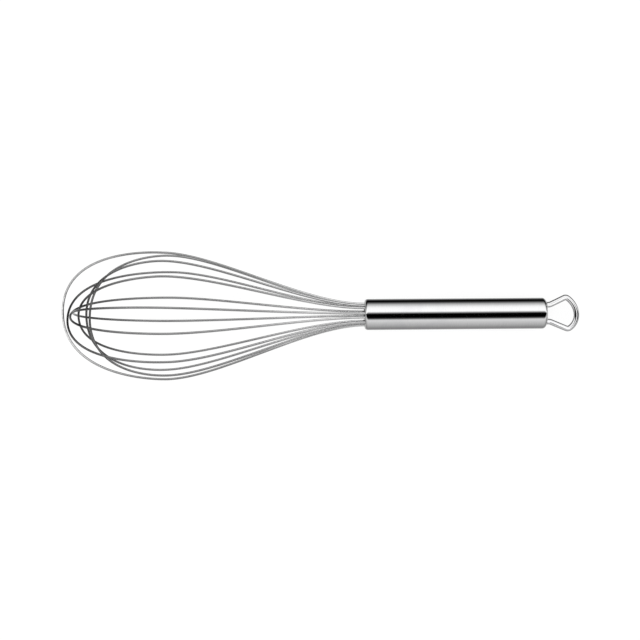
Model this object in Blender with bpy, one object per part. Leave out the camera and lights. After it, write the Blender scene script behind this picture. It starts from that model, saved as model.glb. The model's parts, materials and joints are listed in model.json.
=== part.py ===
# Balloon whisk of stainless steel: seven nested wire loops held in the mouth of a tube
# handle, and a bent wire loop at the handle's rear end to hang it by.
#
# Whisk axes, in which every piece is shaped: X runs along the handle's centre line, from
# the mouth at x = 0 to the rear end, and the wires reach out to negative x. Y and Z cross
# it. All the pieces are parented to one empty, which lays the whisk down on z = 0, where
# it rests on its two lowest wires and the rear edge of its handle.

import math

import bmesh
import bpy
from mathutils import Matrix, Vector

MM = 0.001

# Handle: a tube drawn in a little at both ends
HANDLE_LENGTH = 105.8 * MM
HANDLE_RADIUS = 9.0 * MM
TUBE_WALL = 0.8 * MM
MOUTH_OPENING = 7.15 * MM
MOUTH_FLAT = 7.3 * MM
MOUTH_ROUNDING = 1.9 * MM
REAR_OPENING = 7.7 * MM
REAR_FLAT = 5.5 * MM
REAR_ROUNDING = 2.6 * MM
LIP_THICKNESS = 1.0 * MM
ROUND_SIDES = 48

# Pieces inside the handle, from the mouth backwards
PART_GAP = 0.3 * MM
GUIDE_START = 2.5 * MM
GUIDE_THICKNESS = 3.0 * MM
SEAL_LENGTH = 12.0 * MM
ANCHOR_THICKNESS = 2.0 * MM
CAP_EDGE = 7.4 * MM
CAP_THICKNESS = 3.6 * MM
CAP_SEAL_LENGTH = 10.0 * MM
HOLE_SIDES = 12
HANGER_HOLE_SIDES = 20

# Whisk wires, each one loop whose two strands cross the tube's mouth on a ring of holes
WIRE_RADIUS = 0.65 * MM
WIRE_RING = 6.2 * MM
THROAT_HANDLE = 33.8 * MM
BELLY_HANDLE_IN = 30.1 * MM
BELLY_HANDLE_OUT = 1.0 * MM
TIP_HANDLE = 38.9 * MM
HOOK_BEND = 1.3 * MM
HOOK_END = 4.2 * MM
THROAT_STEPS = 11
CROWN_STEPS = 10
HOOK_STEPS = 3
WIRE_BEVEL = 2

# From the outermost loop to the innermost, which are bent by hand and differ a little:
# turn about the handle's axis in degrees, reach of the crown from the mouth, how far the
# crown leans to one side, reach of the widest place, and its radius on the two strands
WIRE_LOOPS = [
    (-1.0, 173.7 * MM, 2.5 * MM, 116.0 * MM, 35.4 * MM, 37.6 * MM),
    (-47.2, 171.0 * MM, -0.2 * MM, 113.6 * MM, 36.1 * MM, 35.8 * MM),
    (-76.9, 169.3 * MM, 1.1 * MM, 114.5 * MM, 37.1 * MM, 36.8 * MM),
    (80.9, 167.7 * MM, 1.8 * MM, 120.5 * MM, 37.5 * MM, 37.4 * MM),
    (50.5, 164.6 * MM, -1.8 * MM, 116.0 * MM, 39.0 * MM, 37.3 * MM),
    (29.9, 160.2 * MM, -1.5 * MM, 116.6 * MM, 38.1 * MM, 36.8 * MM),
    (-26.7, 158.3 * MM, 0.6 * MM, 114.5 * MM, 38.2 * MM, 37.1 * MM),
]

# Loop to hang the whisk by: two legs spread from the rear cap to a bow across the end
HANGER_RADIUS = 1.65 * MM
HANGER_REACH = 17.5 * MM
HANGER_LEG_OFFSET = 4.9 * MM
HANGER_LEG_INSIDE = 12.5 * MM
HANGER_SPREAD = 24.0
HANGER_BOW_RADIUS = 10.6 * MM
HANGER_BOW_ANGLE = 55.0
HANGER_CORNER_RADIUS = 2.1 * MM
HANGER_BEND_RADIUS = 4.0 * MM
HANGER_SKEW = 0.11
HANGER_BOW_STEPS = 6
HANGER_CORNER_STEPS = 6
HANGER_BEND_STEPS = 4
HANGER_BEVEL = 4

# Meshing, and the search for the slope at which the whisk rests
ROUNDING_STEPS = 5
CAP_ROUNDING_STEPS = 3
SMOOTH_ANGLE = 35.0
MERGE_DISTANCE = 0.001 * MM
DRILL_MARGIN = 2.0 * MM
STEEPEST_TILT = 15.0
TILT_ROUNDS = 40

TUBE_BORE = HANDLE_RADIUS - TUBE_WALL
INNER_RADIUS = TUBE_BORE - PART_GAP
GUIDE_END = GUIDE_START + GUIDE_THICKNESS
SEAL_START = GUIDE_END + PART_GAP
SEAL_END = SEAL_START + SEAL_LENGTH
ANCHOR_START = SEAL_END + PART_GAP
ANCHOR_END = ANCHOR_START + ANCHOR_THICKNESS
HOOK_START = ANCHOR_END + 2 * PART_GAP
CAP_START = HANDLE_LENGTH - CAP_THICKNESS
CAP_SEAL_END = CAP_START - PART_GAP
CAP_SEAL_START = CAP_SEAL_END - CAP_SEAL_LENGTH
REAR_LIP_INSIDE = HANDLE_LENGTH - REAR_ROUNDING + LIP_THICKNESS


# ---- materials ----------------------------------------------------------------------


def metal(name, colour, roughness):
    return finish(name, colour, roughness, 1.0)


def finish(name, colour, roughness, metallic):
    material = bpy.data.materials.new(name)
    material.use_nodes = True
    shader = material.node_tree.nodes["Principled BSDF"]
    shader.inputs["Base Color"].default_value = (*colour, 1.0)
    shader.inputs["Roughness"].default_value = roughness
    shader.inputs["Metallic"].default_value = metallic
    return material


# ---- shaping tools ------------------------------------------------------------------


def add_node(name, data, material, parent, location=(0, 0, 0)):
    """A named piece, parented to the whisk's empty."""
    piece = bpy.data.objects.new(name, data)
    data.materials.append(material)
    bpy.context.scene.collection.objects.link(piece)
    piece.parent = parent
    piece.location = location
    return piece


def turned_mesh(name, outline):
    """Spins a closed outline of (x, radius) points about the X axis."""
    mesh_builder = bmesh.new()
    points = [mesh_builder.verts.new((x, 0, radius)) for x, radius in outline]
    edges = [
        mesh_builder.edges.new((points[index - 1], points[index]))
        for index in range(len(points))
        if outline[index - 1][1] > 0 or outline[index][1] > 0
    ]
    bmesh.ops.spin(
        mesh_builder,
        geom=points + edges,
        cent=(0, 0, 0),
        axis=(1, 0, 0),
        angle=math.tau,
        steps=ROUND_SIDES,
    )
    bmesh.ops.remove_doubles(mesh_builder, verts=mesh_builder.verts, dist=MERGE_DISTANCE)
    bmesh.ops.recalc_face_normals(mesh_builder, faces=mesh_builder.faces)
    mesh = bpy.data.meshes.new(name)
    mesh_builder.to_mesh(mesh)
    mesh_builder.free()
    mesh.shade_smooth()
    mesh.set_sharp_from_angle(angle=math.radians(SMOOTH_ANGLE))
    return mesh


def disc_outline(start, end, radius):
    return [(start, 0), (start, radius), (end, radius), (end, 0)]


def drill(piece, centres, radius, sides, start, end):
    """Cuts round holes along X through a piece, at the given (y, z) centres."""
    length = end - start + 2 * DRILL_MARGIN
    mesh_builder = bmesh.new()
    for y, z in centres:
        middle = Matrix.Translation(((start + end) / 2, y, z))
        bmesh.ops.create_cone(
            mesh_builder,
            cap_ends=True,
            segments=sides,
            radius1=radius,
            radius2=radius,
            depth=length,
            matrix=middle @ Matrix.Rotation(math.pi / 2, 4, "Y"),
        )
    mesh = bpy.data.meshes.new(piece.name + "_drill")
    mesh_builder.to_mesh(mesh)
    mesh_builder.free()
    cutter = bpy.data.objects.new(mesh.name, mesh)
    bpy.context.scene.collection.objects.link(cutter)
    cutter.parent = piece.parent
    cutter.hide_render = True
    cutter.display_type = "WIRE"
    holes = piece.modifiers.new("holes", "BOOLEAN")
    holes.operation = "DIFFERENCE"
    holes.solver = "EXACT"
    holes.object = cutter


def wire_curve(name, points, radius, bevel):
    """Round wire along a list of points, with its two ends closed."""
    curve = bpy.data.curves.new(name, "CURVE")
    curve.dimensions = "3D"
    curve.bevel_depth = radius
    curve.bevel_resolution = bevel
    curve.use_fill_caps = True
    spline = curve.splines.new("POLY")
    spline.points.add(len(points) - 1)
    for spline_point, point in zip(spline.points, points):
        spline_point.co = (*point, 1)
    return curve


def bezier(start, start_handle, end_handle, end, steps):
    """Points along a cubic curve from its start, up to but without its end."""
    corners = [Vector(corner) for corner in (start, start_handle, end_handle, end)]
    points = []
    for index in range(steps):
        t = index / steps
        weights = ((1 - t) ** 3, 3 * t * (1 - t) ** 2, 3 * t**2 * (1 - t), t**3)
        total = Vector((0, 0))
        for weight, corner in zip(weights, corners):
            total += weight * corner
        points.append((total.x, total.y))
    return points


def arc(centre, radius, first, last, steps):
    """Points on a circle between two angles in degrees, both ends included."""
    points = []
    for index in range(steps + 1):
        angle = math.radians(first + (last - first) * index / steps)
        x = centre[0] + radius * math.cos(angle)
        y = centre[1] + radius * math.sin(angle)
        points.append((x, y))
    return points


# ---- handle -------------------------------------------------------------------------


def mouth_curve(steps):
    """Front rounding of the tube, from its flat rim out to its full radius."""
    depth = HANDLE_RADIUS - MOUTH_FLAT
    points = []
    for index in range(steps + 1):
        angle = math.pi / 2 * index / steps
        x = MOUTH_ROUNDING * (1 - math.cos(angle))
        points.append((x, MOUTH_FLAT + depth * math.sin(angle)))
    return points


def rear_curve(first_radius, last_radius, steps):
    """Rear rounding, shared by the tube and its cap, between two of its radii."""
    depth = HANDLE_RADIUS - REAR_FLAT
    first = math.asin((first_radius - REAR_FLAT) / depth)
    last = math.asin((last_radius - REAR_FLAT) / depth)
    points = []
    for index in range(steps + 1):
        angle = first + (last - first) * index / steps
        x = HANDLE_LENGTH - REAR_ROUNDING * (1 - math.cos(angle))
        points.append((x, REAR_FLAT + depth * math.sin(angle)))
    return points


def tube_outline():
    inner_front = [
        (MOUTH_ROUNDING + PART_GAP, TUBE_BORE),
        (LIP_THICKNESS, MOUTH_OPENING),
        (0, MOUTH_OPENING),
    ]
    inner_rear = [
        (REAR_LIP_INSIDE, REAR_OPENING),
        (REAR_LIP_INSIDE, TUBE_BORE),
    ]
    rear = rear_curve(HANDLE_RADIUS, REAR_OPENING, ROUNDING_STEPS)
    return inner_front + mouth_curve(ROUNDING_STEPS) + rear + inner_rear


def cap_outline():
    shoulder = REAR_LIP_INSIDE - PART_GAP
    sides = [
        (shoulder, CAP_EDGE),
        (shoulder, INNER_RADIUS),
        (CAP_START, INNER_RADIUS),
        (CAP_START, 0),
    ]
    dome = rear_curve(REAR_FLAT, CAP_EDGE, CAP_ROUNDING_STEPS)
    return [(HANDLE_LENGTH, 0)] + dome + sides


def strand_ring():
    """Centres of the strands where they pass through the handle's mouth."""
    centres = []
    for loop in WIRE_LOOPS:
        angle = math.radians(loop[0])
        y = WIRE_RING * math.cos(angle)
        z = WIRE_RING * math.sin(angle)
        centres += [(y, z), (-y, -z)]
    return centres


def make_handle(parent, steel, inner_steel, resin):
    tube_mesh = turned_mesh("handle_tube", tube_outline())
    tube = add_node("handle_tube", tube_mesh, steel, parent)
    wire_hole = WIRE_RADIUS + PART_GAP
    layers = [
        ("mouth_guide_disc", GUIDE_START, GUIDE_END, inner_steel),
        ("mouth_seal", SEAL_START, SEAL_END, resin),
        ("wire_anchor_disc", ANCHOR_START, ANCHOR_END, inner_steel),
    ]
    for name, start, end, material in layers:
        mesh = turned_mesh(name, disc_outline(start, end, INNER_RADIUS))
        layer = add_node(name, mesh, material, parent)
        drill(layer, strand_ring(), wire_hole, HOLE_SIDES, start, end)
    legs = [(HANGER_LEG_OFFSET, 0), (-HANGER_LEG_OFFSET, 0)]
    leg_hole = HANGER_RADIUS + PART_GAP
    cap = add_node("rear_cap", turned_mesh("rear_cap", cap_outline()), steel, parent)
    drill(cap, legs, leg_hole, HANGER_HOLE_SIDES, CAP_START, HANDLE_LENGTH)
    seal_mesh = turned_mesh(
        "rear_seal", disc_outline(CAP_SEAL_START, CAP_SEAL_END, INNER_RADIUS)
    )
    seal = add_node("rear_seal", seal_mesh, resin, parent)
    drill(seal, legs, leg_hole, HANGER_HOLE_SIDES, CAP_SEAL_START, CAP_SEAL_END)
    return tube


# ---- wires --------------------------------------------------------------------------


def strand(side, reach, belly_reach, belly_radius):
    """One strand in its loop's plane as (x, radius), from its hook up to its crown."""
    belly = side * belly_radius
    bend_centre = (HOOK_START, side * (WIRE_RING - HOOK_BEND))
    hook = [(HOOK_START + HOOK_BEND, side * HOOK_END)]
    hook += arc(bend_centre, HOOK_BEND, 0, side * 90, HOOK_STEPS)
    throat = bezier(
        (0, side * WIRE_RING),
        (-THROAT_HANDLE, side * WIRE_RING),
        (BELLY_HANDLE_IN - belly_reach, belly),
        (-belly_reach, belly),
        THROAT_STEPS,
    )
    crown = bezier(
        (-belly_reach, belly),
        (-belly_reach - BELLY_HANDLE_OUT, belly),
        (-reach, side * TIP_HANDLE),
        (-reach, 0),
        CROWN_STEPS,
    )
    return hook + throat + crown


def loop_points(turn, reach, crown_lean, belly_reach, first_radius, second_radius):
    """A whole loop, turned about X; it leans by the square of the way out to its crown."""
    angle = math.radians(turn)
    out = strand(1, reach, belly_reach, first_radius)
    back = strand(-1, reach, belly_reach, second_radius)[::-1]
    outline = out + [(-reach, 0)] + back
    points = []
    for x, radius in outline:
        lean = crown_lean * (min(x, 0) / reach) ** 2
        points.append((x, radius * math.cos(angle) + lean, radius * math.sin(angle)))
    return points


def make_wires(parent, steel):
    loops = []
    for number, loop in enumerate(WIRE_LOOPS, 1):
        name = f"wire_loop_{number}"
        curve = wire_curve(name, loop_points(*loop), WIRE_RADIUS, WIRE_BEVEL)
        loops.append(add_node(name, curve, steel, parent))
    return loops


# ---- hanging loop -------------------------------------------------------------------


def hanger_half():
    """Half the hanging loop as (x, y) points from the rear end, from its bow to its leg."""
    heading = 90 + HANGER_BOW_ANGLE
    bow_centre = (HANGER_REACH - HANGER_BOW_RADIUS, 0)
    bow = arc(bow_centre, HANGER_BOW_RADIUS, 0, HANGER_BOW_ANGLE, HANGER_BOW_STEPS)
    inward = HANGER_BOW_RADIUS - HANGER_CORNER_RADIUS
    bow_angle = math.radians(HANGER_BOW_ANGLE)
    corner_centre = (
        bow_centre[0] + inward * math.cos(bow_angle),
        bow_centre[1] + inward * math.sin(bow_angle),
    )
    leg_heading = 180 + HANGER_SPREAD
    corner = arc(
        corner_centre,
        HANGER_CORNER_RADIUS,
        heading - 90,
        leg_heading - 90,
        HANGER_CORNER_STEPS,
    )
    spread = math.radians(HANGER_SPREAD)
    bend_rise = HANGER_BEND_RADIUS * (1 - math.cos(spread))
    leg_drop = corner[-1][1] - HANGER_LEG_OFFSET - bend_rise
    bend_start_x = corner[-1][0] - leg_drop / math.tan(spread)
    bend_end_x = bend_start_x - HANGER_BEND_RADIUS * math.sin(spread)
    bend_centre = (bend_end_x, HANGER_LEG_OFFSET + HANGER_BEND_RADIUS)
    bend = arc(
        bend_centre,
        HANGER_BEND_RADIUS,
        HANGER_SPREAD - 90,
        -90,
        HANGER_BEND_STEPS,
    )
    leg_end = [(-HANGER_LEG_INSIDE, HANGER_LEG_OFFSET)]
    return bow + corner[1:] + bend + leg_end


def make_hanger(parent, steel):
    """The loop, sheared so that its far corners stand a little askew."""
    half = hanger_half()
    outline = [(x, -y) for x, y in half[:0:-1]] + half
    points = []
    for x, y in outline:
        skew = HANGER_SKEW * y * max(x, 0) / HANGER_REACH
        points.append((x - skew, y, 0))
    curve = wire_curve("hanging_loop", points, HANGER_RADIUS, HANGER_BEVEL)
    add_node("hanging_loop", curve, steel, parent, location=(HANDLE_LENGTH, 0, 0))


# ---- resting place ------------------------------------------------------------------


def points_of(pieces):
    """The pieces' finished surface points, in the frame that their parent now gives."""
    bpy.context.view_layer.update()
    graph = bpy.context.evaluated_depsgraph_get()
    points = []
    for piece in pieces:
        finished = piece.evaluated_get(graph)
        mesh = finished.to_mesh()
        points += [finished.matrix_world @ vertex.co for vertex in mesh.vertices]
        finished.to_mesh_clear()
    return points


def lowest(points, tilt):
    return min(point.z * math.cos(tilt) - point.x * math.sin(tilt) for point in points)


def resting_tilt(wires, tube):
    """Tilt about Y at which the lowest wires and the handle's rear edge are level."""
    wire_points = points_of(wires)
    tube_points = points_of([tube])
    low, high = 0.0, math.radians(STEEPEST_TILT)
    for _ in range(TILT_ROUNDS):
        tilt = (low + high) / 2
        if lowest(wire_points, tilt) < lowest(tube_points, tilt):
            low = tilt
        else:
            high = tilt
    return tilt


def lay_down(whisk, wires, tube):
    """Tilts the whisk to its resting slope and centres its box over the origin."""
    whisk.rotation_euler = (0, resting_tilt(wires, tube), 0)
    pieces = [piece for piece in whisk.children if not piece.hide_render]
    points = points_of(pieces)
    x_values = [point.x for point in points]
    y_values = [point.y for point in points]
    whisk.location = (
        -(min(x_values) + max(x_values)) / 2,
        -(min(y_values) + max(y_values)) / 2,
        -min(point.z for point in points),
    )


def main():
    for old in list(bpy.data.objects):
        bpy.data.objects.remove(old)
    whisk = bpy.data.objects.new("whisk", None)
    bpy.context.scene.collection.objects.link(whisk)
    polished = metal("polished_steel", (0.62, 0.62, 0.62), 0.12)
    wire_steel = metal("spring_wire", (0.56, 0.56, 0.57), 0.2)
    plain_steel = metal("plain_steel", (0.5, 0.5, 0.51), 0.35)
    resin = finish("sealing_resin", (0.07, 0.07, 0.075), 0.45, 0.0)
    tube = make_handle(whisk, polished, plain_steel, resin)
    wires = make_wires(whisk, wire_steel)
    make_hanger(whisk, polished)
    lay_down(whisk, wires, tube)


main()
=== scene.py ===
import json

import bpy
import numpy as np
from mathutils import Matrix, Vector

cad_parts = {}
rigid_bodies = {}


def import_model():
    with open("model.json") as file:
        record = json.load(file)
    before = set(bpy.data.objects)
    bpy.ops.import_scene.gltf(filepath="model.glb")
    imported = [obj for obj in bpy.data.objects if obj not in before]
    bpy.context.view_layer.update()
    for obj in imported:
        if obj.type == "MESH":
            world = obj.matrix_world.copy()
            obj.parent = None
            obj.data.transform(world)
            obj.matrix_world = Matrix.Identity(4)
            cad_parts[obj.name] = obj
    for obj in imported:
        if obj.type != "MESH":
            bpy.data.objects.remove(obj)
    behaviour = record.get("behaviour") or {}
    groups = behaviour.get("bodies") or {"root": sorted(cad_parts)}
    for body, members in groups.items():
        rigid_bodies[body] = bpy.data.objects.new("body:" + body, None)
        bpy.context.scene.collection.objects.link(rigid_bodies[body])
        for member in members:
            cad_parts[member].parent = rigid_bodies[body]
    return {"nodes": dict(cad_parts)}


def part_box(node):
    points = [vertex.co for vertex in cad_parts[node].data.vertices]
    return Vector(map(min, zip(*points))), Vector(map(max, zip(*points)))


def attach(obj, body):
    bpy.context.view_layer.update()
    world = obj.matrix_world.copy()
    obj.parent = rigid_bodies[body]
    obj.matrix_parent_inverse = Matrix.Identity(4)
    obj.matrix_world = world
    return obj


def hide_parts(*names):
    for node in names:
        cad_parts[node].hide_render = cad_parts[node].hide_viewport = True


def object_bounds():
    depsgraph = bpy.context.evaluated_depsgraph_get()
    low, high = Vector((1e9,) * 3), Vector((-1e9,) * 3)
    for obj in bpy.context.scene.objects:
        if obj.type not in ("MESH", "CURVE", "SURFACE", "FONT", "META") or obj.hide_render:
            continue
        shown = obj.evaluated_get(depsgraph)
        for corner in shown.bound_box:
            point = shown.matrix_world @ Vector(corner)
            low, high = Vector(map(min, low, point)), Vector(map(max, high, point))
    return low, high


# Balloon whisk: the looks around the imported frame. Every new piece is worked out in the
# whisk's own axes (x along the handle from its mouth, the wires at negative x) and then
# set down in its mesh with the slope that the whisk rests at, which the frame gives.
# Lengths are in metres and angles in degrees.

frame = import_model()
cadLow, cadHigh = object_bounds()
print("frame loaded")

guide = {
    "start": 0.0025,  # depth in the mouth
    "thickness": 0.003,
    "radius": 0.0079,
    "chamfer": 0.0002,
    "hub": 0.001,  # where its rear face closes to the middle
    "rings": 64,
    "around": 224,
    "sideSteps": 4,
    "chamferSteps": 2,
    "rearSteps": 8,
    "fillet": 0.0005,  # height of the resin that creeps up each wire
    "filletWidth": 0.0004,
}


def boxMiddle(node):
    low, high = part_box(node)
    return (np.array(low) + np.array(high)) / 2


def whiskPlace():
    # the guide disc and the rear seal are turned about the handle's axis, so the middles of
    # their boxes lie on it; the mouth lies in front of the guide disc's middle by half its
    # thickness and the depth that it sits at
    front = boxMiddle("mouth_guide_disc")
    along = boxMiddle("rear_seal") - front
    along /= np.linalg.norm(along)
    across = np.cross((0.0, 0.0, 1.0), along)
    across /= np.linalg.norm(across)
    mouth = front - along * (guide["start"] + guide["thickness"] / 2)
    return mouth, np.array((along, across, np.cross(along, across)))


mouth, whiskAxes = whiskPlace()
along, across, upward = whiskAxes


def placed(points):
    # from the whisk's own axes to where it lies
    return mouth + points @ whiskAxes


def addNode(tree, kind, inputs=None, **settings):
    node = tree.nodes.new(kind)
    for name, value in settings.items():
        setattr(node, name, value)
    for key, value in (inputs or {}).items():
        socket = node.inputs[key]
        if isinstance(value, bpy.types.NodeSocket):
            tree.links.new(value, socket)
        else:
            socket.default_value = value
    return node


def newGroup(name, inputs, outputs):
    tree = bpy.data.node_groups.new(name, "ShaderNodeTree")
    for label, kind, value in inputs:
        socket = tree.interface.new_socket(name=label, in_out="INPUT", socket_type=kind)
        socket.default_value = value
    for label in outputs:
        tree.interface.new_socket(name=label, in_out="OUTPUT", socket_type="NodeSocketFloat")
    entry = tree.nodes.new("NodeGroupInput")
    result = tree.nodes.new("NodeGroupOutput")
    return tree, entry.outputs, result.inputs


def useGroup(tree, group, inputs):
    node = tree.nodes.new("ShaderNodeGroup")
    node.node_tree = group
    for key, value in inputs.items():
        if isinstance(value, bpy.types.NodeSocket):
            tree.links.new(value, node.inputs[key])
        else:
            node.inputs[key].default_value = value
    return node.outputs


def grainGroup():
    # drawn-out noise: high across the lines of a polish, low along them
    inputs = [
        ("Place", "NodeSocketVector", (0, 0, 0)),
        ("Stretch", "NodeSocketVector", (1, 1, 1)),
    ]
    tree, given, result = newGroup("polishGrain", inputs, ["Grain"])
    stretched = addNode(
        tree,
        "ShaderNodeVectorMath",
        {0: given["Place"], 1: given["Stretch"]},
        operation="MULTIPLY",
    )
    noise = addNode(
        tree,
        "ShaderNodeTexNoise",
        {"Vector": stretched.outputs[0], "Scale": 1.0, "Detail": 4.0, "Roughness": 0.62},
    )
    sharpened = addNode(
        tree,
        "ShaderNodeMapRange",
        {"Value": noise.outputs["Fac"], "From Min": 0.3, "From Max": 0.7},
        interpolation_type="SMOOTHSTEP",
    )
    tree.links.new(sharpened.outputs[0], result["Grain"])
    return tree


def handlingGroup():
    # what hands and drawers leave: cloudy smudges, and thin scratches where the rims of
    # large stretched cells run
    inputs = [
        ("Place", "NodeSocketVector", (0, 0, 0)),
        ("Smudge Scale", "NodeSocketFloat", 60.0),
        ("Scratch Scale", "NodeSocketFloat", 90.0),
    ]
    tree, given, result = newGroup("handlingMarks", inputs, ["Smudges", "Scratches"])
    cloud = addNode(
        tree,
        "ShaderNodeTexNoise",
        {
            "Vector": given["Place"],
            "Scale": given["Smudge Scale"],
            "Detail": 5.0,
            "Roughness": 0.55,
            "Distortion": 0.6,
        },
    )
    smudges = addNode(
        tree,
        "ShaderNodeMapRange",
        {"Value": cloud.outputs["Fac"], "From Min": 0.48, "From Max": 0.74},
        interpolation_type="SMOOTHSTEP",
    )
    bent = addNode(
        tree,
        "ShaderNodeVectorMath",
        {0: cloud.outputs["Color"], 1: (0.004, 0.004, 0.004), 2: given["Place"]},
        operation="MULTIPLY_ADD",
    )
    cells = addNode(
        tree,
        "ShaderNodeTexVoronoi",
        {"Vector": bent.outputs[0], "Scale": given["Scratch Scale"], "Randomness": 1.0},
        feature="DISTANCE_TO_EDGE",
    )
    thin = addNode(
        tree,
        "ShaderNodeMapRange",
        {
            "Value": cells.outputs["Distance"],
            "From Min": 0.004,
            "From Max": 0.012,
            "To Min": 1.0,
            "To Max": 0.0,
        },
    )
    broken = addNode(
        tree,
        "ShaderNodeMath",
        {0: thin.outputs[0], 1: smudges.outputs[0]},
        operation="MULTIPLY",
    )
    tree.links.new(smudges.outputs[0], result["Smudges"])
    tree.links.new(broken.outputs[0], result["Scratches"])
    return tree


def wearGroup():
    # rubbed rims and crossings: the piece's rim mask, eaten into by fine noise
    inputs = [
        ("Place", "NodeSocketVector", (0, 0, 0)),
        ("Rim", "NodeSocketFloat", 0.0),
        ("Scale", "NodeSocketFloat", 900.0),
    ]
    tree, given, result = newGroup("rimWear", inputs, ["Worn"])
    noise = addNode(
        tree,
        "ShaderNodeTexNoise",
        {"Vector": given["Place"], "Scale": given["Scale"], "Detail": 3.0},
    )
    summed = addNode(
        tree,
        "ShaderNodeMath",
        {0: given["Rim"], 1: noise.outputs["Fac"]},
        operation="ADD",
    )
    worn = addNode(
        tree,
        "ShaderNodeMapRange",
        {"Value": summed.outputs[0], "From Min": 0.95, "From Max": 1.45},
        interpolation_type="SMOOTHSTEP",
    )
    tree.links.new(worn.outputs[0], result["Worn"])
    return tree


polishGrain = grainGroup()
handlingMarks = handlingGroup()
rimWear = wearGroup()
print("node groups ready")


def startMaterial(name, shaderInputs):
    material = bpy.data.materials.new(name)
    material.use_nodes = True
    tree = material.node_tree
    tree.nodes.clear()
    shader = addNode(tree, "ShaderNodeBsdfPrincipled", shaderInputs)
    output = tree.nodes.new("ShaderNodeOutputMaterial")
    tree.links.new(shader.outputs[0], output.inputs["Surface"])
    return material, tree, shader


def pieceAttribute(tree, name):
    # ownPlace is a point's place in its piece, and rim is how much it is rubbed
    return addNode(tree, "ShaderNodeAttribute", attribute_name=name).outputs


def frameVector(tree):
    # place in the whisk's own axes, for the inner pieces, which have no attribute, and for
    # what changes along the whole whisk
    coordinates = tree.nodes.new("ShaderNodeTexCoord")
    slope = np.arctan2(-along[2], along[0])
    turned = addNode(
        tree,
        "ShaderNodeMapping",
        {
            "Vector": coordinates.outputs["Object"],
            "Location": tuple(-whiskAxes @ mouth),
            "Rotation": (0, -slope, 0),
        },
    )
    return turned.outputs[0]


def mixed(tree, factor, first, second, kind="RGBA"):
    node = tree.nodes.new("ShaderNodeMix")
    node.data_type = kind
    tree.links.new(factor, node.inputs["Factor"])
    low, high, result = (6, 7, 2) if kind == "RGBA" else (2, 3, 0)  # colour or number sockets
    for slot, value in ((low, first), (high, second)):
        if isinstance(value, bpy.types.NodeSocket):
            tree.links.new(value, node.inputs[slot])
        else:
            node.inputs[slot].default_value = (*value, 1) if kind == "RGBA" else value
    return node.outputs[result]


def withPaintedShading(tree, colour, paintedShading):
    # painted shade and highlight along the whisk: the wires' colour is darkened towards their
    # crowns and left bright near the handle, standing in for how their reflections fall
    split = addNode(tree, "ShaderNodeSeparateXYZ", {0: frameVector(tree)})
    reached = addNode(
        tree,
        "ShaderNodeMapRange",
        {"Value": split.outputs["X"], "From Min": paintedShading["from"], "From Max": paintedShading["to"]},
    )
    ramp = addNode(tree, "ShaderNodeValToRGB", {"Fac": reached.outputs[0]})
    setStops(ramp, paintedShading["stops"])
    tinted = tree.nodes.new("ShaderNodeMix")
    tinted.data_type = "RGBA"
    tinted.blend_type = "MULTIPLY"
    tinted.inputs["Factor"].default_value = 1.0
    tree.links.new(colour, tinted.inputs[6])
    tree.links.new(ramp.outputs["Color"], tinted.inputs[7])
    return tinted.outputs[2]


def setStops(ramp, stops):
    # greys along a colour ramp, as rising pairs of a position and a brightness
    elements = ramp.color_ramp.elements
    for index, (position, brightness) in enumerate(stops):
        stop = elements[index] if index < 2 else elements.new(position)
        stop.position = position
        stop.color = (brightness, brightness, brightness, 1)


def steelFinish(name, look, ownPlace=True):
    # polished or brushed stainless: lines of the polish tint and roughen it, hands smudge
    # it, and its rims are rubbed brighter and duller in turn; on the wires painted shade and
    # highlight darken the colour towards the crowns
    material, tree, shader = startMaterial(name, {"Metallic": 1.0})
    place = pieceAttribute(tree, "ownPlace")["Vector"] if ownPlace else frameVector(tree)
    grain = useGroup(tree, polishGrain, {"Place": place, "Stretch": look["stretch"]})["Grain"]
    marks = useGroup(
        tree,
        handlingMarks,
        {
            "Place": place,
            "Smudge Scale": look["smudgeScale"],
            "Scratch Scale": look["scratchScale"],
        },
    )
    colour = mixed(tree, grain, look["dark"], look["light"])
    colour = mixed(tree, marks["Smudges"], colour, look["smudged"])
    rough = mixed(tree, grain, look["smooth"], look["rough"], "FLOAT")
    rough = mixed(tree, marks["Smudges"], rough, look["smudgeRough"], "FLOAT")
    rough = mixed(tree, marks["Scratches"], rough, look["scratchRough"], "FLOAT")
    if ownPlace:
        rim = pieceAttribute(tree, "rim")["Fac"]
        worn = useGroup(tree, rimWear, {"Place": place, "Rim": rim})["Worn"]
        colour = mixed(tree, worn, colour, look["worn"])
        rough = mixed(tree, worn, rough, look["wornRough"], "FLOAT")
    # painted shade and highlight: colour darkened towards the crowns, bright near the handle
    if "paintedShading" in look:
        colour = withPaintedShading(tree, colour, look["paintedShading"])
    height = addNode(
        tree,
        "ShaderNodeMath",
        {0: marks["Scratches"], 1: -look["scratchDepth"], 2: grain},
        operation="MULTIPLY_ADD",
    )
    bump = addNode(
        tree,
        "ShaderNodeBump",
        {
            "Strength": look["bump"],
            "Distance": look["bumpDepth"],
            "Height": height.outputs[0],
        },
    )
    tree.links.new(colour, shader.inputs["Base Color"])
    tree.links.new(rough, shader.inputs["Roughness"])
    tree.links.new(bump.outputs[0], shader.inputs["Normal"])
    return material


polishedLook = {
    "stretch": (5200.0, 240.0, 240.0),  # polished on a belt that runs round the tube
    "dark": (0.60, 0.60, 0.605),
    "light": (0.66, 0.66, 0.66),
    "smudged": (0.59, 0.59, 0.60),
    "worn": (0.70, 0.70, 0.69),
    "smooth": 0.02,
    "rough": 0.045,
    "smudgeRough": 0.06,
    "scratchRough": 0.14,
    "wornRough": 0.1,
    "smudgeScale": 75.0,
    "scratchScale": 85.0,
    "scratchDepth": 1.5,  # in heights of the grain
    "bump": 0.06,
    "bumpDepth": 0.000002,
}

loopLook = dict(
    polishedLook,
    stretch=(260.0, 4200.0, 4200.0),  # drawn wire, so the lines run along it
    smooth=0.06,
    rough=0.12,
    smudgeScale=120.0,
    scratchScale=150.0,
)

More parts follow.
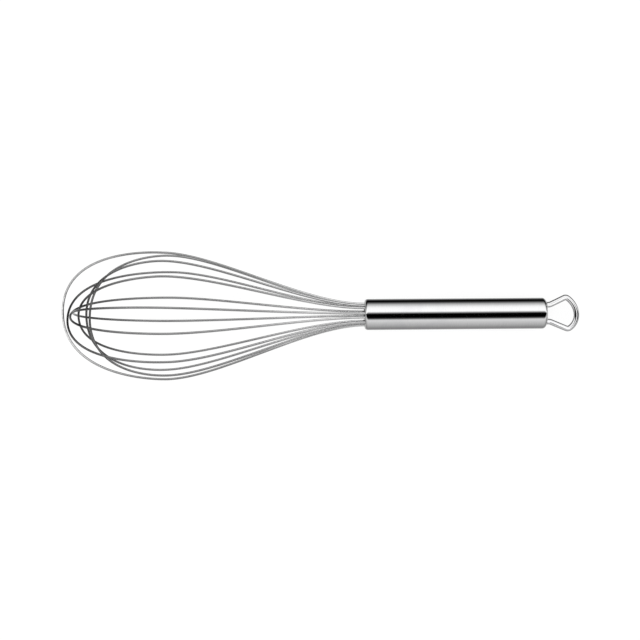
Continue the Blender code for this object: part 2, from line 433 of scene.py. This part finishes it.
wireLook = dict(
    polishedLook,
    stretch=(220.0, 7000.0, 7000.0),
    dark=(0.78, 0.78, 0.785),
    light=(0.88, 0.88, 0.88),
    smudged=(0.74, 0.74, 0.745),
    worn=(0.5, 0.5, 0.495),
    # painted shade and highlight: the wires' colour falls from bright at the mouth to dark at
    # the crowns
    paintedShading={
        "from": -0.174,  # the outermost crown
        "to": 0.0,  # the mouth
        "stops": [(0.0, 0.17), (0.12, 0.17), (0.24, 0.42), (0.6, 0.51), (0.8, 0.84), (1.0, 0.9)],
    },
    smooth=0.12,
    rough=0.2,
    smudgeRough=0.26,
    smudgeScale=55.0,
    scratchScale=180.0,
)

# the outermost wire gets a painted highlight at its crown: its colour is kept paler there
outerWireLook = dict(
    wireLook,
    paintedShading=dict(
        wireLook["paintedShading"],
        stops=[(0.0, 0.7), (0.05, 0.6), (0.2, 0.45), (0.6, 0.51), (0.8, 0.84), (1.0, 0.9)],
    ),
)

plainLook = dict(
    polishedLook,
    stretch=(900.0, 6000.0, 300.0),  # cut from brushed sheet
    dark=(0.44, 0.44, 0.45),
    light=(0.56, 0.56, 0.56),
    smudged=(0.42, 0.42, 0.42),
    smooth=0.26,
    rough=0.4,
    smudgeRough=0.42,
    wornRough=0.3,
    bump=0.25,
)

resinLook = {
    "deep": (0.045, 0.045, 0.05),
    "pale": (0.10, 0.10, 0.105),
    "cloudScale": 420.0,
    "bubbleScale": 1600.0,
    "gloss": 0.28,
    "matt": 0.5,
    "bump": 0.3,
    "bumpDepth": 0.00004,
}


def resinFinish(name, look):
    # cast resin: cloudy grey, with tiny bubbles open at its surface
    material, tree, shader = startMaterial(name, {"Metallic": 0.0, "IOR": 1.5})
    place = frameVector(tree)
    cloud = addNode(
        tree,
        "ShaderNodeTexNoise",
        {"Vector": place, "Scale": look["cloudScale"], "Detail": 5.0},
    ).outputs["Fac"]
    bubbles = addNode(
        tree,
        "ShaderNodeTexVoronoi",
        {"Vector": place, "Scale": look["bubbleScale"]},
    ).outputs["Distance"]
    pits = addNode(
        tree,
        "ShaderNodeMapRange",
        {"Value": bubbles, "From Min": 0.05, "From Max": 0.22},
    ).outputs[0]
    bump = addNode(
        tree,
        "ShaderNodeBump",
        {"Strength": look["bump"], "Distance": look["bumpDepth"], "Height": pits},
    )
    colour = mixed(tree, cloud, look["deep"], look["pale"])
    rough = mixed(tree, cloud, look["gloss"], look["matt"], "FLOAT")
    tree.links.new(colour, shader.inputs["Base Color"])
    tree.links.new(rough, shader.inputs["Roughness"])
    tree.links.new(bump.outputs[0], shader.inputs["Normal"])
    return material


polishedSteel = steelFinish("polishedSteel", polishedLook)
loopSteel = steelFinish("loopSteel", loopLook)
springWire = steelFinish("springWire", wireLook)
outerWire = steelFinish("outerWire", outerWireLook)
plainSteel = steelFinish("plainSteel", plainLook)
plainSteelInside = steelFinish("plainSteelInside", plainLook, ownPlace=False)
sealingResin = resinFinish("sealingResin", resinLook)
print("finishes ready")


def unit(vectors):
    return vectors / np.linalg.norm(vectors, axis=-1, keepdims=True)


def shellMesh(name, rings, ownPlace, rim, poles, material):
    # rings is a grid of points, one row to a ring that runs round the row's direction by the
    # right hand; rows are joined by quads, the last row to the first, or to a pole at each
    # end by triangles; ownPlace and rim hold one value to a point for the finish
    rows, columns = rings.shape[:2]
    closed = poles is None
    row, column = np.meshgrid(
        np.arange(rows if closed else rows - 1), np.arange(columns), indexing="ij"
    )
    nextRow = (row + 1) % rows
    nextColumn = (column + 1) % columns
    corners = (
        row * columns + column,
        row * columns + nextColumn,
        nextRow * columns + nextColumn,
        nextRow * columns + column,
    )
    quads = np.stack(corners, axis=-1).reshape(-1, 4)
    points = rings.reshape(-1, 3)
    places = ownPlace.reshape(-1, 3)
    rims = rim.reshape(-1)
    fans = np.zeros((0, 3), int)
    if not closed:
        around = np.arange(columns)
        following = (around + 1) % columns
        count = rows * columns
        lastRow = count - columns
        startFan = np.stack((np.full(columns, count), following, around), axis=-1)
        endFan = np.stack(
            (np.full(columns, count + 1), lastRow + around, lastRow + following), axis=-1
        )
        fans = np.concatenate((startFan, endFan))
        points = np.concatenate((points, poles))
        places = np.concatenate((places, ownPlace[[0, -1]].mean(axis=1)))
        rims = np.concatenate((rims, rim[[0, -1]].mean(axis=1)))
    faceCorners = np.concatenate((quads.ravel(), fans.ravel()))
    sizes = np.concatenate((np.full(len(quads), 4), np.full(len(fans), 3)))
    mesh = bpy.data.meshes.new(name)
    mesh.vertices.add(len(points))
    mesh.vertices.foreach_set("co", placed(points).astype(np.float32).ravel())
    mesh.loops.add(len(faceCorners))
    mesh.loops.foreach_set("vertex_index", faceCorners.astype(np.int32))
    mesh.polygons.add(len(sizes))
    mesh.polygons.foreach_set("loop_start", (np.cumsum(sizes) - sizes).astype(np.int32))
    mesh.update(calc_edges=True)
    mesh.validate()
    vectors = mesh.attributes.new("ownPlace", "FLOAT_VECTOR", "POINT")
    vectors.data.foreach_set("vector", places.astype(np.float32).ravel())
    masks = mesh.attributes.new("rim", "FLOAT", "POINT")
    masks.data.foreach_set("value", rims.astype(np.float32))
    mesh.shade_smooth()
    mesh.materials.append(material)
    piece = bpy.data.objects.new(name, mesh)
    bpy.context.scene.collection.objects.link(piece)
    return piece


endSteps = 5  # rings on each rounded end of a rod


def sweptRod(name, centres, flatNormal, radius, sides, roundEnd, rim, shift, material):
    # a circle carried along a centre line that stays near one plane:
    # point = centre + r (cos a * side + sin a * lift), with side in the plane, lift standing
    # on it and both square to the line; past each end r falls as a quarter ellipse to a
    # pole; shift sets where in the grain the rod is cut from
    tangents = unit(np.gradient(centres, axis=0))
    turn = np.linspace(0, np.pi / 2, endSteps + 2)[1:-1]
    reach = roundEnd * np.sin(turn)[:, None]
    before = (centres[0] - tangents[0] * reach)[::-1]
    after = centres[-1] + tangents[-1] * reach
    path = np.concatenate((before, centres, after))
    shrink = radius * np.cos(turn)
    ringRadius = np.concatenate((shrink[::-1], np.full(len(centres), radius), shrink))
    first, last = (np.tile(tangents[end], (endSteps, 1)) for end in (0, -1))
    directions = np.concatenate((first, tangents, last))
    side = unit(np.cross(flatNormal, directions))
    lift = np.cross(directions, side)
    angle = np.arange(sides) * 2 * np.pi / sides
    ring = (
        np.cos(angle)[None, :, None] * side[:, None]
        + np.sin(angle)[None, :, None] * lift[:, None]
    )
    rings = path[:, None] + ringRadius[:, None, None] * ring
    poles = np.array(
        (centres[0] - tangents[0] * roundEnd, centres[-1] + tangents[-1] * roundEnd)
    )
    run = np.concatenate(([0], np.cumsum(np.linalg.norm(np.diff(path, axis=0), axis=1))))
    shape = (len(path), sides)
    own = np.stack(
        (
            np.broadcast_to(run[:, None] + shift, shape),
            np.broadcast_to(radius * np.cos(angle), shape),
            np.broadcast_to(radius * np.sin(angle) + shift, shape),
        ),
        axis=-1,
    )
    rimRows = np.concatenate((np.full(endSteps, rim[0]), rim, np.full(endSteps, rim[-1])))
    rims = np.broadcast_to(rimRows[:, None], shape)
    return shellMesh(name, rings, own, rims, poles, material)


def turnedRings(outline, around):
    # each (x, radius) of an outline becomes a ring (x, radius cos a, radius sin a)
    angle = np.arange(around) * 2 * np.pi / around
    x, radius = outline[:, 0, None], outline[:, 1, None]
    shape = (len(outline), around)
    return np.stack(
        (np.broadcast_to(x, shape), radius * np.cos(angle), radius * np.sin(angle)),
        axis=-1,
    )


def arcLine(centre, radius, first, last, steps):
    # points on a circle between two angles in degrees, both ends included
    angle = np.radians(np.linspace(first, last, steps + 1))
    return np.stack(
        (centre[0] + radius * np.cos(angle), centre[1] + radius * np.sin(angle)), axis=-1
    )


def straightLine(start, end, steps):
    # evenly spaced points from start up to, but without, the end
    share = np.arange(steps)[:, None] / steps
    return np.array(start) + (np.array(end) - np.array(start)) * share


def cubicLine(corners, steps):
    # the cubic curve of four corners, up to but without its end, more closely spaced at
    # both its ends
    t = (1 - np.cos(np.pi * np.arange(steps) / steps))[:, None] / 2
    a, b, c, d = (np.array(corner) for corner in corners)
    return (1 - t) ** 3 * a + 3 * t * (1 - t) ** 2 * b + 3 * t**2 * (1 - t) * c + t**3 * d


wire = {
    "radius": 0.00065,
    "ring": 0.0062,  # circle on which the strands leave the handle
    "throatHandle": 0.0338,
    "bellyHandleIn": 0.0301,
    "bellyHandleOut": 0.001,
    "tipHandle": 0.0389,
    "hookStart": 0.0207,
    "hookBend": 0.0013,
    "hookEnd": 0.0042,
    "roundEnd": 0.0003,
    "sides": 20,
    "hookSteps": 2,
    "bendSteps": 8,
    "insideSteps": 5,
    "throatSteps": 56,
    "crownSteps": 64,
    "wear": 0.75,
    "wearReach": 0.02,  # how far from the crown the wires rub on each other
    "grainShift": 0.41,  # from one wire's grain to the next one's
    # from the outermost loop to the innermost: turn about the handle, reach of the crown
    # from the mouth, how far the crown leans to one side, reach of the widest place, and
    # its radius on the two strands
    "loops": [
        (-1.0, 0.1737, 0.0025, 0.1160, 0.0354, 0.0376),
        (-47.2, 0.1710, -0.0002, 0.1136, 0.0361, 0.0358),
        (-76.9, 0.1693, 0.0011, 0.1145, 0.0371, 0.0368),
        (80.9, 0.1677, 0.0018, 0.1205, 0.0375, 0.0374),
        (50.5, 0.1646, -0.0018, 0.1160, 0.0390, 0.0373),
        (29.9, 0.1602, -0.0015, 0.1166, 0.0381, 0.0368),
        (-26.7, 0.1583, 0.0006, 0.1145, 0.0382, 0.0371),
    ],
}


def strandLine(reach, bellyReach, bellyRadius):
    # one strand in its loop's plane, from its hooked end behind the anchor disc forward
    # through the mouth, out along a cubic curve to the belly and on to just before the crown
    start, bend, ring = wire["hookStart"], wire["hookBend"], wire["ring"]
    belly = (-bellyReach, bellyRadius)
    hookEnd = (start + bend, wire["hookEnd"] + wire["roundEnd"])
    parts = (
        straightLine(hookEnd, (start + bend, ring - bend), wire["hookSteps"]),
        arcLine((start, ring - bend), bend, 0, 90, wire["bendSteps"]),
        straightLine((start, ring), (0, ring), wire["insideSteps"])[1:],
        cubicLine(
            (
                (0, ring),
                (-wire["throatHandle"], ring),
                (belly[0] + wire["bellyHandleIn"], belly[1]),
                belly,
            ),
            wire["throatSteps"],
        ),
        cubicLine(
            (
                belly,
                (belly[0] - wire["bellyHandleOut"], belly[1]),
                (-reach, wire["tipHandle"]),
                (-reach, 0),
            ),
            wire["crownSteps"],
        ),
    )
    return np.concatenate(parts)


def loopLine(turn, reach, lean, bellyReach, firstRadius, secondRadius):
    # a strand out, the crown, and the other strand mirrored back; turned about the handle,
    # with a lean that grows as the square of the way out to the crown
    out = strandLine(reach, bellyReach, firstRadius)
    back = strandLine(reach, bellyReach, secondRadius)[::-1] * (1, -1)
    flat = np.concatenate((out, [(-reach, 0)], back))
    x, radius = flat.T
    turn = np.radians(turn)
    leaning = lean * (np.minimum(x, 0) / reach) ** 2
    return np.stack((x, radius * np.cos(turn) + leaning, radius * np.sin(turn)), axis=-1)


def makeWire(number, loop):
    # a rod along the loop's line, rubbed most at its crown and less by a falling
    # exponential of the way back from it
    centres = loopLine(*loop)
    turned, reach = np.radians(loop[0]), loop[1]
    normal = np.array((0, -np.sin(turned), np.cos(turned)))
    rim = wire["wear"] * np.exp(-(reach + centres[:, 0]) / wire["wearReach"])
    piece = sweptRod(
        f"wireLoop{number}",
        centres,
        normal,
        wire["radius"],
        wire["sides"],
        wire["roundEnd"],
        rim,
        number * wire["grainShift"],
        outerWire if number == 1 else springWire,
    )
    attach(piece, "root")
    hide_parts(f"wire_loop_{number}")


for number, loop in enumerate(wire["loops"], 1):
    makeWire(number, loop)
print("wires ready")

handle = {
    "length": 0.1058,
    "radius": 0.009,
    "bore": 0.0082,
    "mouthOpening": 0.00715,
    "mouthFlat": 0.0073,
    "mouthRounding": 0.0019,
    "rearOpening": 0.0077,
    "rearFlat": 0.0055,
    "rearRounding": 0.0026,
    "lip": 0.001,
    "taper": 0.0012,  # length over which the bore narrows to the mouth
    "around": 192,
    "steps": 14,  # along each rounding
    "outsideSteps": 24,
    "boreSteps": 12,
    "lipSteps": 3,
    "taperSteps": 4,
    "wear": 0.8,
    "wearReach": 0.0022,  # how far from a rim the rubbed zone goes
}


def mouthCurve(steps):
    # quarter ellipse from the flat rim of the mouth out to the tube's full radius
    angle = np.linspace(0, np.pi / 2, steps + 1)
    depth = handle["radius"] - handle["mouthFlat"]
    x = handle["mouthRounding"] * (1 - np.cos(angle))
    return np.stack((x, handle["mouthFlat"] + depth * np.sin(angle)), axis=-1)


def rearCurve(firstRadius, lastRadius, steps):
    # part of the quarter ellipse that rounds the rear end, between two of its radii
    depth = handle["radius"] - handle["rearFlat"]
    first, last = (
        np.arcsin((radius - handle["rearFlat"]) / depth) for radius in (firstRadius, lastRadius)
    )
    angle = np.linspace(first, last, steps + 1)
    x = handle["length"] - handle["rearRounding"] * (1 - np.cos(angle))
    return np.stack((x, handle["rearFlat"] + depth * np.sin(angle)), axis=-1)


def tubeOutline():
    # closed outline of the tube's wall, as points (x, radius)
    radius, bore, lip = handle["radius"], handle["bore"], handle["lip"]
    opening, lipSteps = handle["mouthOpening"], handle["lipSteps"]
    rear = handle["length"] - handle["rearRounding"]
    lipEnd = rear + lip
    boreEnd = lip + handle["taper"]
    outside = straightLine(
        (handle["mouthRounding"], radius), (rear, radius), handle["outsideSteps"]
    )
    parts = (
        mouthCurve(handle["steps"]),
        outside[1:],
        rearCurve(radius, handle["rearOpening"], handle["steps"]),
        straightLine((lipEnd, handle["rearOpening"]), (lipEnd, bore), lipSteps),
        straightLine((lipEnd, bore), (boreEnd, bore), handle["boreSteps"]),
        straightLine((boreEnd, bore), (lip, opening), handle["taperSteps"]),
        straightLine((lip, opening), (0, opening), lipSteps),
    )
    return np.concatenate(parts)


def makeTube():
    # the outline turned round the handle's axis, rubbed at both ends by a falling
    # exponential of the way from each
    outline = tubeOutline()
    rings = turnedRings(outline, handle["around"])
    x = rings[..., 0]
    fromMouth = np.exp(-x / handle["wearReach"])
    fromRear = np.exp(-(handle["length"] - x) / handle["wearReach"])
    rim = handle["wear"] * (fromMouth + fromRear)
    piece = shellMesh("handleTube", rings, rings, rim, None, polishedSteel)
    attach(piece, "root")
    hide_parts("handle_tube")


makeTube()
print("handle tube ready")

# the rear cap, with the hanging loop's legs brazed into it
cap = {
    "thickness": 0.0036,
    "joint": 0.00764,  # radius at which it meets the tube's rim in a fine line
    "innerRadius": 0.0079,
    "shoulder": 0.0007,  # how far the joint line goes in
    "braze": 0.00045,  # height of the fillet round each leg
    "brazeWidth": 0.0004,
    "hub": 0.001,  # where its inner face closes to the middle
    "around": 224,
    "faceRings": 60,
    "domeSteps": 24,
    "innerSteps": 6,
    "sideSteps": 3,
    "stepSteps": 2,
    "wear": 0.9,
    "wearReach": 0.0005,  # to each side of the joint line
}

hanger = {
    "radius": 0.00165,
    "reach": 0.0175,
    "legOffset": 0.0049,
    "legInside": 0.0125,
    "spread": 24.0,  # slope of each leg away from the handle's axis
    "bowRadius": 0.0106,
    "bowAngle": 55.0,  # from the middle of the bow to where a corner begins
    "cornerRadius": 0.0021,
    "bendRadius": 0.004,
    "skew": 0.11,  # shear that sets the two far corners a little askew
    "roundEnd": 0.0006,
    "sides": 32,
    "bowSteps": 30,
    "cornerSteps": 24,
    "slopeSteps": 8,
    "bendSteps": 14,
    "insideSteps": 10,
    "wear": 0.55,
    "wearReach": 0.004,  # from the bow, where it hangs on its hook
}


def creep(rings, centres, radius, height, width):
    # how far metal or resin has crept up each round thing that stands in a face: height
    # times a falling exponential of the distance to its side
    rise = np.zeros(rings.shape[:2])
    for y, z in centres:
        distance = np.hypot(rings[..., 1] - y, rings[..., 2] - z) - radius
        rise += height * np.exp(-np.maximum(distance, 0) / width)
    return rise


def makeCap():
    # closed turned solid: flat inside, an edge that steps in to the joint line, and the rear
    # rounding with a flat face, raised round the two legs
    length = handle["length"]
    front = length - cap["thickness"]
    back = length - handle["rearRounding"] + handle["lip"] - cap["shoulder"]
    dome = rearCurve(cap["joint"], handle["rearFlat"], cap["domeSteps"])
    faceRadii = handle["rearFlat"] * (1 - np.arange(1, cap["faceRings"]) / cap["faceRings"])
    face = np.stack((np.full(len(faceRadii), length), faceRadii), axis=-1)
    inner, joint = cap["innerRadius"], cap["joint"]
    inside = np.concatenate(
        (
            straightLine((front, cap["hub"]), (front, inner), cap["innerSteps"]),
            straightLine((front, inner), (back, inner), cap["sideSteps"]),
            straightLine((back, inner), (back, joint), cap["stepSteps"]),
            straightLine((back, joint), dome[0], cap["sideSteps"]),
        )
    )
    rings = turnedRings(np.concatenate((inside, dome, face)), cap["around"])
    legs = [(hanger["legOffset"], 0), (-hanger["legOffset"], 0)]
    rise = creep(rings, legs, hanger["radius"], cap["braze"], cap["brazeWidth"])
    rings[len(inside) :, :, 0] += rise[len(inside) :]
    fromJoint = np.abs(np.hypot(rings[..., 1], rings[..., 2]) - joint)
    rim = cap["wear"] * np.exp(-fromJoint / cap["wearReach"]) + rise / cap["braze"]
    poles = np.array(((front, 0, 0), (length, 0, 0)))
    piece = shellMesh("rearCap", rings, rings, rim, poles, polishedSteel)
    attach(piece, "root")
    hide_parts("rear_cap")


makeCap()
print("rear cap ready")


def hangerHalf():
    # from the middle of the bow, round the corner, down the sloping leg and, after a soft
    # bend, straight into the handle
    spread = np.radians(hanger["spread"])
    bowAngle = np.radians(hanger["bowAngle"])
    legOffset, corner, bend = hanger["legOffset"], hanger["cornerRadius"], hanger["bendRadius"]
    bowCentre = np.array((hanger["reach"] - hanger["bowRadius"], 0))
    inward = hanger["bowRadius"] - corner
    cornerCentre = bowCentre + inward * np.array((np.cos(bowAngle), np.sin(bowAngle)))
    bow = arcLine(bowCentre, hanger["bowRadius"], 0, hanger["bowAngle"], hanger["bowSteps"])
    turned = arcLine(
        cornerCentre, corner, hanger["bowAngle"], 90 + hanger["spread"], hanger["cornerSteps"]
    )
    drop = turned[-1, 1] - legOffset - bend * (1 - np.cos(spread))
    bendEnd = turned[-1, 0] - drop / np.tan(spread) - bend * np.sin(spread)
    soft = arcLine(
        (bendEnd, legOffset + bend), bend, hanger["spread"] - 90, -90, hanger["bendSteps"]
    )
    legEnd = (hanger["roundEnd"] - hanger["legInside"], legOffset)
    inside = straightLine(soft[-1], legEnd, hanger["insideSteps"])
    slope = straightLine(turned[-1], soft[0], hanger["slopeSteps"])
    return np.concatenate((bow[1:], turned[1:-1], slope, soft[:-1], inside, [legEnd]))


def makeHanger():
    # a rod along both halves of the loop, sheared a little out of square, and rubbed most
    # at its bow by a falling exponential of the way back from it
    half = hangerHalf()
    tip = np.array([(hanger["reach"], 0)])
    flat = np.concatenate((half[::-1] * (1, -1), tip, half))
    x, y = flat.T
    skewed = x - hanger["skew"] * y * np.maximum(x, 0) / hanger["reach"]
    centres = np.column_stack((skewed + handle["length"], y, np.zeros(len(x))))
    fromTip = hanger["reach"] - flat[:, 0]
    rim = hanger["wear"] * np.exp(-fromTip / hanger["wearReach"])
    piece = sweptRod(
        "hangingLoop",
        centres,
        np.array((0, 0, 1)),
        hanger["radius"],
        hanger["sides"],
        hanger["roundEnd"],
        rim,
        0.0,
        loopSteel,
    )
    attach(piece, "root")
    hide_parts("hanging_loop")


makeHanger()
print("hanging loop ready")


def strandPlaces():
    # where the fourteen strands cross the mouth
    turns = np.radians([loop[0] for loop in wire["loops"]])
    ring = wire["ring"] * np.stack((np.cos(turns), np.sin(turns)), axis=-1)
    return np.concatenate((ring, -ring))


def makeGuide():
    # closed turned disc whose front face is raised where sealing resin creeps up each wire
    start, radius, chamfer = guide["start"], guide["radius"], guide["chamfer"]
    end = start + guide["thickness"]
    flat = radius - chamfer
    count = guide["rings"]
    front = np.stack((np.full(count, start), flat * np.arange(1, count + 1) / count), axis=-1)
    others = (
        straightLine((start + chamfer, radius), (end - chamfer, radius), guide["sideSteps"]),
        straightLine((end - chamfer, radius), (end, flat), guide["chamferSteps"]),
        straightLine((end, flat), (end, guide["hub"]), guide["rearSteps"]),
    )
    rings = turnedRings(np.concatenate((front, *others)), guide["around"])
    rise = creep(rings, strandPlaces(), wire["radius"], guide["fillet"], guide["filletWidth"])
    rise[count:] = 0
    rings[..., 0] -= rise
    poles = np.array(((start, 0, 0), (end, 0, 0)))
    piece = shellMesh("mouthGuideDisc", rings, rings, rise * 0, poles, plainSteel)
    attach(piece, "root")
    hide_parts("mouth_guide_disc")


makeGuide()
print("guide disc ready")

# the pieces inside the handle keep their shape and get a finish of their own
keptFinishes = {
    "mouth_seal": sealingResin,
    "rear_seal": sealingResin,
    "wire_anchor_disc": plainSteelInside,
}
for node, material in keptFinishes.items():
    kept = frame["nodes"][node]
    if not kept.material_slots:
        kept.data.materials.append(material)
    for slot in kept.material_slots:
        slot.material = material
print("inner pieces finished")

floorLook = {
    "half": 4.0,
    "gap": 0.00005,  # between it and what the whisk rests on
    "pale": (0.17, 0.17, 0.17),
    "paler": (0.19, 0.19, 0.19),
    "glow": 0.86,  # how brightly the table shines by itself
    "mottle": 9.0,
}


def makeFloor():
    # a light table: a flat square that glows, so that it takes only a breath of shadow
    half = floorLook["half"]
    corners = np.array(((-half, -half), (half, -half), (half, half), (-half, half)))
    level = np.full((4, 1), cadLow[2] - floorLook["gap"])
    mesh = bpy.data.meshes.new("floor")
    mesh.from_pydata(np.hstack((corners, level)).tolist(), [], [(0, 1, 2, 3)])
    glow = {"Roughness": 0.9, "Emission Strength": floorLook["glow"]}
    material, tree, shader = startMaterial("floor", glow)
    shader.inputs["Emission Color"].default_value = (1, 1, 1, 1)
    coordinates = tree.nodes.new("ShaderNodeTexCoord")
    mottle = addNode(
        tree,
        "ShaderNodeTexNoise",
        {"Vector": coordinates.outputs["Object"], "Scale": floorLook["mottle"], "Detail": 3.0},
    )
    colour = mixed(tree, mottle.outputs["Fac"], floorLook["pale"], floorLook["paler"])
    tree.links.new(colour, shader.inputs["Base Color"])
    mesh.materials.append(material)
    floor = bpy.data.objects.new("floor", mesh)
    bpy.context.scene.collection.objects.link(floor)
    floor.visible_glossy = False


view = {
    "distance": 0.9645,
    "lens": 93.75,
    "sight": 20.0,  # how far the camera sees
    "roll": 3.45,  # degrees that the camera stands to one side of the handle
    "lean": 2.0,  # degrees that it stands towards the handle's end
    "turn": 0.45,  # degrees that it is itself turned by
    "aside": 0.02575,  # from the mouth towards the wires
    "down": 0.00316,
}


def viewAxes():
    # where the camera stands over the whisk and what is up to it, before it leans and turns,
    # and its right, up and back afterwards
    roll, lean, turn = np.radians((view["roll"], view["lean"], view["turn"]))
    over = upward * np.cos(roll) + across * np.sin(roll)
    up = across * np.cos(roll) - upward * np.sin(roll)
    back = over * np.cos(lean) - along * np.sin(lean)
    right = along * np.cos(lean) + over * np.sin(lean)
    turnedRight = right * np.cos(turn) - up * np.sin(turn)
    turnedUp = right * np.sin(turn) + up * np.cos(turn)
    return over, up, np.array((turnedRight, turnedUp, back))


facing, aloft, viewFrame = viewAxes()


def makeCamera():
    # above the whisk, aimed a little way from its mouth towards the wires
    right, up, back = viewFrame
    spot = mouth + back * view["distance"] - right * view["aside"] - up * view["down"]
    data = bpy.data.cameras.new("camera")
    data.lens = view["lens"]
    data.clip_end = view["sight"]
    camera = bpy.data.objects.new("camera", data)
    bpy.context.scene.collection.objects.link(camera)
    camera.matrix_world = Matrix.Translation(spot) @ Matrix(viewFrame.T.tolist()).to_4x4()
    bpy.context.scene.camera = camera


studio = {
    "backdrop": 1.0,
    "soft": 1.0,  # even light on everything that isn't metal
    "strength": 1.7,  # brightness of the brightest card in the metal's reflections
    # round the handle in degrees from the camera, positive towards the top of the view:
    # brightness of the pale cards and of the dark gap in which the camera stands
    "cards": [
        (-180, 0.48), (-160, 0.36), (-140, 0.2), (-122, 0.21), (-96, 0.35), (-75, 0.45),
        (-60, 0.53), (-50, 0.6), (-44, 0.58), (-38, 0.30), (-32, 0.045), (-24, 0.0),
        (2, 0.0), (8, 0.13), (14, 0.47), (20, 0.92), (28, 0.95), (48, 0.88), (58, 0.76),
        (71, 0.51), (80, 0.37), (89, 0.165), (98, 0.04), (108, 0.0), (122, 0.0),
        (136, 0.07), (146, 0.22), (160, 0.42), (180, 0.48),
    ],
}


def makeStudio():
    # white to the camera, even to matt surfaces, and to metal a long tunnel of cards round
    # the whisk's axis
    world = bpy.data.worlds.new("studio")
    world.use_nodes = True
    tree = world.node_tree
    tree.nodes.clear()
    direction = tree.nodes.new("ShaderNodeTexCoord").outputs["Generated"]

    def share(axis):
        dot = addNode(
            tree, "ShaderNodeVectorMath", {0: direction, 1: tuple(axis)}, operation="DOT_PRODUCT"
        )
        return dot.outputs["Value"]

    angle = addNode(
        tree, "ShaderNodeMath", {0: share(aloft), 1: share(facing)}, operation="ARCTAN2"
    )
    spread = addNode(
        tree,
        "ShaderNodeMapRange",
        {"Value": angle.outputs[0], "From Min": -np.pi, "From Max": np.pi},
    )
    ramp = addNode(tree, "ShaderNodeValToRGB", {"Fac": spread.outputs[0]})
    cards = [((degrees + 180) / 360, brightness) for degrees, brightness in studio["cards"]]
    setStops(ramp, cards)
    reflected = addNode(
        tree,
        "ShaderNodeBackground",
        {"Color": ramp.outputs["Color"], "Strength": studio["strength"]},
    )
    even = addNode(tree, "ShaderNodeBackground", {"Strength": studio["soft"]})
    backdrop = addNode(tree, "ShaderNodeBackground", {"Strength": studio["backdrop"]})
    even.inputs["Color"].default_value = (1, 1, 1, 1)
    backdrop.inputs["Color"].default_value = (1, 1, 1, 1)
    rays = tree.nodes.new("ShaderNodeLightPath").outputs
    glossy = tree.nodes.new("ShaderNodeMixShader")
    tree.links.new(rays["Is Glossy Ray"], glossy.inputs[0])
    tree.links.new(even.outputs[0], glossy.inputs[1])
    tree.links.new(reflected.outputs[0], glossy.inputs[2])
    seen = tree.nodes.new("ShaderNodeMixShader")
    tree.links.new(rays["Is Camera Ray"], seen.inputs[0])
    tree.links.new(glossy.outputs[0], seen.inputs[1])
    tree.links.new(backdrop.outputs[0], seen.inputs[2])
    output = tree.nodes.new("ShaderNodeOutputWorld")
    tree.links.new(seen.outputs[0], output.inputs["Surface"])
    bpy.context.scene.world = world


# two small soft lamps, each linked to the one piece that it picks out: the outermost wire,
# at its crown, and the hanging loop; centre and aim are in the whisk's own axes, and size is
# along and across
softLamps = {
    "crownLamp": {
        "centre": (-0.205, -0.0106, 0.0507),
        "aim": (-0.1737, 0.0025, 0.0),
        "size": (0.15, 0.07),
        "brightness": 1.6,
        "lights": "wireLoop1",
    },
    "loopLamp": {
        "centre": (0.1515, -0.025, 0.133),
        "aim": (0.1515, -0.025, 0.0),
        "size": (0.06, 0.12),
        "brightness": 1.7,
        "lights": "hangingLoop",
    },
}


def makeLamp(name, lamp):
    # a rectangle of even brightness, so its power is pi times its area times that
    data = bpy.data.lights.new(name, "AREA")
    data.shape = "RECTANGLE"
    data.size, data.size_y = lamp["size"]
    data.energy = lamp["brightness"] * np.pi * lamp["size"][0] * lamp["size"][1]
    piece = bpy.data.objects.new(name, data)
    bpy.context.scene.collection.objects.link(piece)
    centre, aim = (placed(np.array(lamp[key])) for key in ("centre", "aim"))
    back = unit(centre - aim)
    sideways = unit(np.cross(across, back))
    turned = Matrix(np.array((sideways, np.cross(back, sideways), back)).T.tolist())
    piece.matrix_world = Matrix.Translation(centre) @ turned.to_4x4()
    piece.visible_camera = False
    lit = bpy.data.collections.new(name + "Only")
    lit.objects.link(bpy.data.objects[lamp["lights"]])
    piece.light_linking.receiver_collection = lit


makeFloor()
makeCamera()
makeStudio()
for name, lamp in softLamps.items():
    makeLamp(name, lamp)
bpy.context.scene.view_settings.view_transform = "Standard"
print("floor, camera and light ready")
